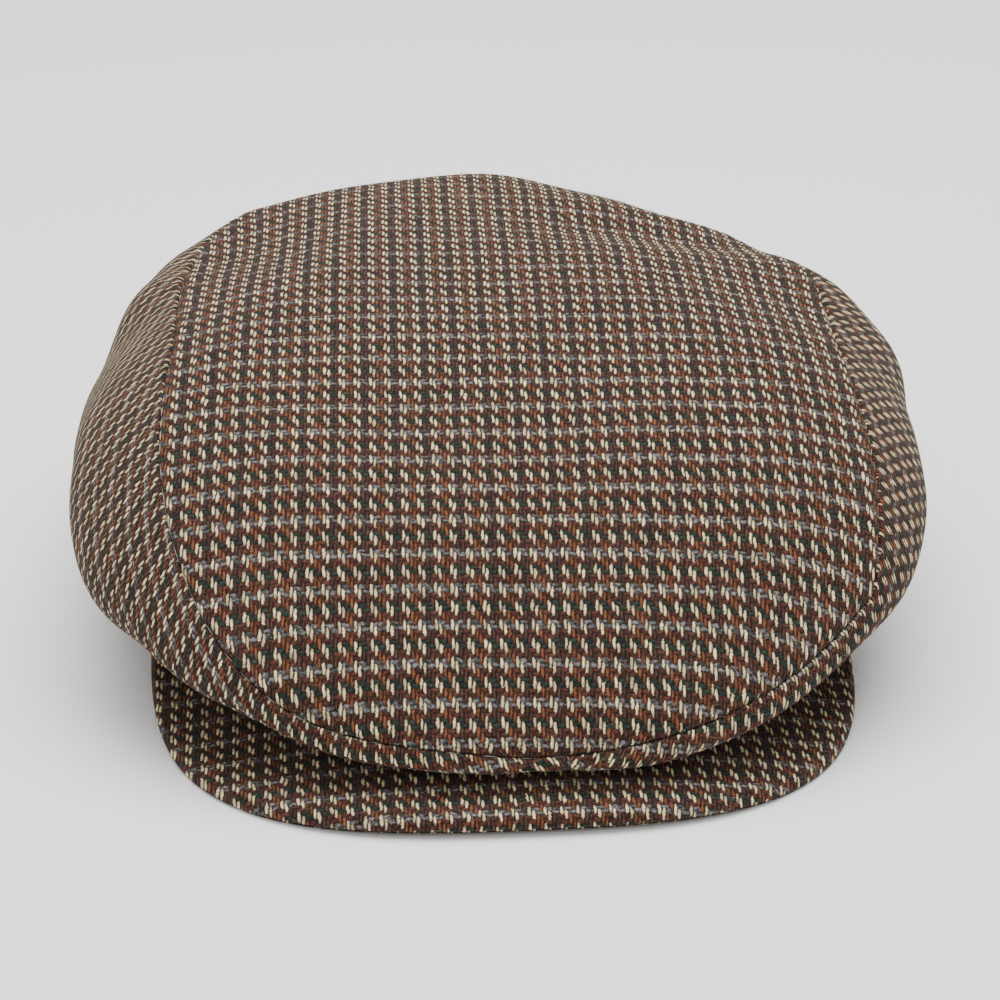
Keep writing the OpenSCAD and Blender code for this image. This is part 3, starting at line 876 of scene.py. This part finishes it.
# in satin, tape and labels the Deep colour is partly a random tone and partly painted shade in the weave's hollows
satin = makeMaterial(
    "liningSatin", plainWeaveGroup,
    {"Pitch": 0.00045, "Light": (0.085, 0.036, 0.022, 1), "Deep": (0.045, 0.018, 0.012, 1)},
    "object", (0.34, 0.46), 0.00005, 0.5, sheen=0.2)
leather = makeMaterial(
    "bandLeather", grainGroup,
    {"Scale": 1500.0, "Contrast": 0.6, "Base": (0.030, 0.020, 0.015, 1), "Deep": (0.012, 0.009, 0.008, 1)},
    "object", (0.62, 0.42), 0.00012, 0.7)
cottonTape = makeMaterial(
    "cottonTape", plainWeaveGroup,
    {"Pitch": 0.0007, "Light": (0.56, 0.50, 0.40, 1), "Deep": (0.36, 0.31, 0.24, 1)},
    "object", (0.95, 0.85), 0.0001, 0.8)
labelWeave = makeMaterial(
    "labelWeave", plainWeaveGroup,
    {"Pitch": 0.0004, "Light": (0.72, 0.66, 0.52, 1), "Deep": (0.56, 0.50, 0.38, 1)},
    "object", (0.6, 0.5), 0.00006, 0.6)
peakBoard = makeMaterial(
    "peakBoard", grainGroup,
    {"Scale": 700.0, "Contrast": 0.4, "Base": (0.66, 0.63, 0.55, 1), "Deep": (0.50, 0.47, 0.40, 1)},
    "object", (0.7, 0.55), 0.00008, 0.5)
studMetal = makeMaterial(
    "studMetal", grainGroup,
    {"Scale": 2600.0, "Contrast": 0.5, "Base": (0.58, 0.55, 0.50, 1), "Deep": (0.36, 0.33, 0.29, 1)},
    "object", (0.42, 0.26), 0.00002, 0.4, metallic=1.0)
print("materials made")


def dress(piece, material):
    piece.data.materials.clear()
    piece.data.materials.append(material)


def dressNode(nodeName, material):
    # a CAD node keeps its mesh and gets a finish in each of its slots
    node = frame["nodes"][nodeName]
    if not node.material_slots:
        node.data.materials.append(material)
    for materialSlot in node.material_slots:
        materialSlot.material = material


for piece, nodes in ((topTweed, ["top_panel"]), (rightTweed, ["side_panel_right"]), (leftTweed, ["side_panel_left"]),
                     (peakTop, ["peak_top_cover"]), (peakUnder, ["peak_under_cover"])):
    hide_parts(*nodes)
for piece in (topTweed, rightTweed, leftTweed, peakTop, peakUnder, hem):
    dress(piece, tweed)
for piece in (crownFibres, peakFibres):
    dress(piece, fibreWool)
for piece in layerPieces:
    dress(piece, wadding if "Interlining" in piece.name else satin)
for nodeName, material in (("sweatband", leather), ("stay_tape", cottonTape), ("size_tab", labelWeave),
                           ("blank_label", labelWeave), ("peak_board", peakBoard), ("snap_socket", studMetal),
                           ("snap_stud", studMetal)):
    dressNode(nodeName, material)

# What moves with what

for piece in (topTweed, rightTweed, leftTweed, crownFibres, *layerPieces):
    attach(piece, "crown")
for piece in (peakTop, peakUnder, peakFibres):
    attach(piece, "base")
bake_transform(hem)
print("pieces ride on their bodies")


seamSpare = 1.03  # cloth to spare round a piece before it is sewn


def clothSize(piece):
    # the area is the modelled face's; the flat size is the reach of the thread map with a little to spare
    mesh = piece.data
    areas = np.zeros(len(mesh.polygons))
    mesh.polygons.foreach_get("area", areas)
    threads = np.zeros(len(mesh.loops) * 2)
    mesh.uv_layers[0].data.foreach_get("uv", threads)
    reach = np.ptp(threads.reshape(-1, 2), axis=0)
    return float(areas.sum()), float(reach[0]) * seamSpare, float(reach[1]) * seamSpare


for piece in (topTweed, rightTweed, leftTweed, *layerPieces, peakTop, peakUnder, hem):
    area, width, length = clothSize(piece)
    print(piece.name, "flat", round(width, 3), "x", round(length, 3), "area", round(area, 4))

# Floor, lights, camera

studio = {
    "floorHalf": 6.0,
    "floorColour": (0.90, 0.90, 0.90, 1),
    "worldStrength": 0.62,
    "top": {"place": (0.05, 0.1, 1.3), "size": 1.3, "power": 34.0},
    "front": {"place": (-0.35, -1.25, 0.95), "size": 0.9, "power": 7.0},
}

floorMesh = bpy.data.meshes.new("studioFloor")
half = studio["floorHalf"]
floorMesh.from_pydata([(-half, -half, 0), (half, -half, 0), (half, half, 0), (-half, half, 0)], [], [(0, 1, 2, 3)])
floor = bpy.data.objects.new("studioFloor", floorMesh)
bpy.context.scene.collection.objects.link(floor)
floorMaterial = bpy.data.materials.new("paleFloor")
floorMaterial.use_nodes = True
floorShader = floorMaterial.node_tree.nodes["Principled BSDF"]
floorShader.inputs["Base Color"].default_value = studio["floorColour"]
floorShader.inputs["Roughness"].default_value = 0.9
floorShader.inputs["Specular IOR Level"].default_value = 0.1
floor.data.materials.append(floorMaterial)

world = bpy.data.worlds.new("softStudio")
bpy.context.scene.world = world
world.use_nodes = True
world.node_tree.nodes["Background"].inputs["Color"].default_value = (1, 1, 1, 1)
world.node_tree.nodes["Background"].inputs["Strength"].default_value = studio["worldStrength"]


def addSoftLight(name, lamping, target):
    light = bpy.data.lights.new(name, "AREA")
    light.shape = "SQUARE"
    light.size = lamping["size"]
    light.energy = lamping["power"]
    lamp = bpy.data.objects.new(name, light)
    lamp.location = lamping["place"]
    direction = np.array(target) - np.array(lamping["place"])
    lamp.rotation_euler = Vector(direction).to_track_quat("-Z", "Y").to_euler()
    bpy.context.scene.collection.objects.link(lamp)


middle = (np.array(cadLow) + np.array(cadHigh)) / 2
addSoftLight("topLight", studio["top"], middle)
addSoftLight("frontLight", studio["front"], middle)

cameraSet = {"distance": 0.84, "azimuth": -4.1, "elevation": 23.2, "lens": 106.6, "sensor": 36,
             "lower": 0.0180, "right": 0.0034, "target": (0.0, -0.00525, 0.050)}
azimuth, elevation = math.radians(cameraSet["azimuth"]), math.radians(cameraSet["elevation"])
back = np.array([math.sin(azimuth) * math.cos(elevation), -math.cos(azimuth) * math.cos(elevation),
                 math.sin(elevation)])
right = np.array([math.cos(azimuth), math.sin(azimuth), 0.0])
upward = np.cross(right, -back)
target = np.array(cameraSet["target"])
cameraPlace = target + back * cameraSet["distance"]
aim = target - upward * cameraSet["lower"] + right * cameraSet["right"]
cameraData = bpy.data.cameras.new("studioCamera")
cameraData.lens = cameraSet["lens"]
cameraData.sensor_width = cameraSet["sensor"]
camera = bpy.data.objects.new("studioCamera", cameraData)
camera.location = cameraPlace
camera.rotation_euler = Vector(aim - cameraPlace).to_track_quat("-Z", "Y").to_euler()
bpy.context.scene.collection.objects.link(camera)
bpy.context.scene.camera = camera
print("studio set")
